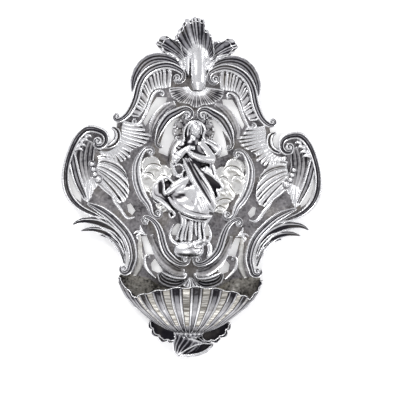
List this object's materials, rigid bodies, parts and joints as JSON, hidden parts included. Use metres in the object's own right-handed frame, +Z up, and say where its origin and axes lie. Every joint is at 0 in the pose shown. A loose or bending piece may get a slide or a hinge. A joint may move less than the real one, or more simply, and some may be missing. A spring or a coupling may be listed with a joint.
{
  "type": "holy water stoup",
  "caption": "Wall-hung silver holy water stoup: pierced scrollwork back plate with a standing figure in relief, a fluted half basin below and a hanging ring behind.",
  "frame": {"origin": "centre of the hanging ring's hole, at the middle of the ring's thickness", "axes": "+Z up, +X to the viewer's right, +Y into the wall; the figure faces -Y"},
  "size_m": [0.2632, 0.0646, 0.3403],
  "materials": {
    "silver_bright": "chased silver, burnished on the rims and darkened in the recesses",
    "silver_shell": "chased silver, satin, dark tarnish between the ribs",
    "silver_ground": "matted silver sheet with a dark oxidised ground",
    "silver_plain": "plain drawn silver, lightly scratched",
    "nut_brass": "dull old brass, filed"
  },
  "bodies": {
    "stoup": {"ground_plate": "silver_ground", "virgin_figure": "silver_bright", "serpent": "silver_bright", "globe": "silver_bright", "crest_leaf_centre": "silver_bright", "bowl": "silver_bright", "bowl_back_sheet": "silver_ground", "bowl_foot_collar": "silver_bright", "pendant_leaf_centre": "silver_bright", "small_fan": "silver_shell", "crest_shell": "silver_shell", "crescent_moon": "silver_bright", "halo_cloud": "silver_shell", "hanging_staple": "silver_plain", "square_nuts": "nut_brass", "frame_scroll_top_left": "silver_bright", "frame_scroll_top_right": "silver_bright", "frame_scroll_middle_left": "silver_bright", "frame_scroll_middle_right": "silver_bright", "frame_scroll_low_left": "silver_bright", "frame_scroll_low_right": "silver_bright", "shoulder_scroll_left": "silver_bright", "shoulder_scroll_right": "silver_bright", "wing_scroll_left": "silver_bright", "wing_scroll_right": "silver_bright", "small_c_scroll_left": "silver_bright", "small_c_scroll_right": "silver_bright", "acanthus_spray_left": "silver_bright", "acanthus_spray_right": "silver_bright", "wing_leaf_left": "silver_bright", "wing_leaf_right": "silver_bright", "crest_leaf_side_left": "silver_bright", "crest_leaf_side_right": "silver_bright", "shoulder_leaf_left": "silver_bright", "shoulder_leaf_right": "silver_bright", "thin_scroll_left": "silver_bright", "thin_scroll_right": "silver_bright", "under_leaf_left": "silver_bright", "under_leaf_right": "silver_bright", "bracket_curl_left": "silver_bright", "bracket_curl_right": "silver_bright", "bracket_leaf_left": "silver_bright", "bracket_leaf_right": "silver_bright", "pearl_row_left": "silver_bright", "pearl_row_right": "silver_bright", "pendant_leaf_side_left": "silver_bright", "pendant_leaf_side_right": "silver_bright", "upper_shell_left": "silver_shell", "upper_shell_right": "silver_shell", "lower_shell_left": "silver_shell", "lower_shell_right": "silver_shell", "rocaille_panel_left": "silver_shell", "rocaille_panel_right": "silver_shell", "upper_cove_left": "silver_shell", "upper_cove_right": "silver_shell", "lower_cove_left": "silver_shell", "lower_cove_right": "silver_shell", "cloud_panel_left": "silver_shell", "cloud_panel_right": "silver_shell"},
    "ring": {"hanging_ring": "silver_plain"}
  },
  "joints": [
    {"name": "ring_swing", "type": "hinge", "parent": "stoup", "child": "ring", "pos_m": [0, 0, 0.0124], "axis": [1, 0, 0], "range_deg": [0, 172]}
  ]
}
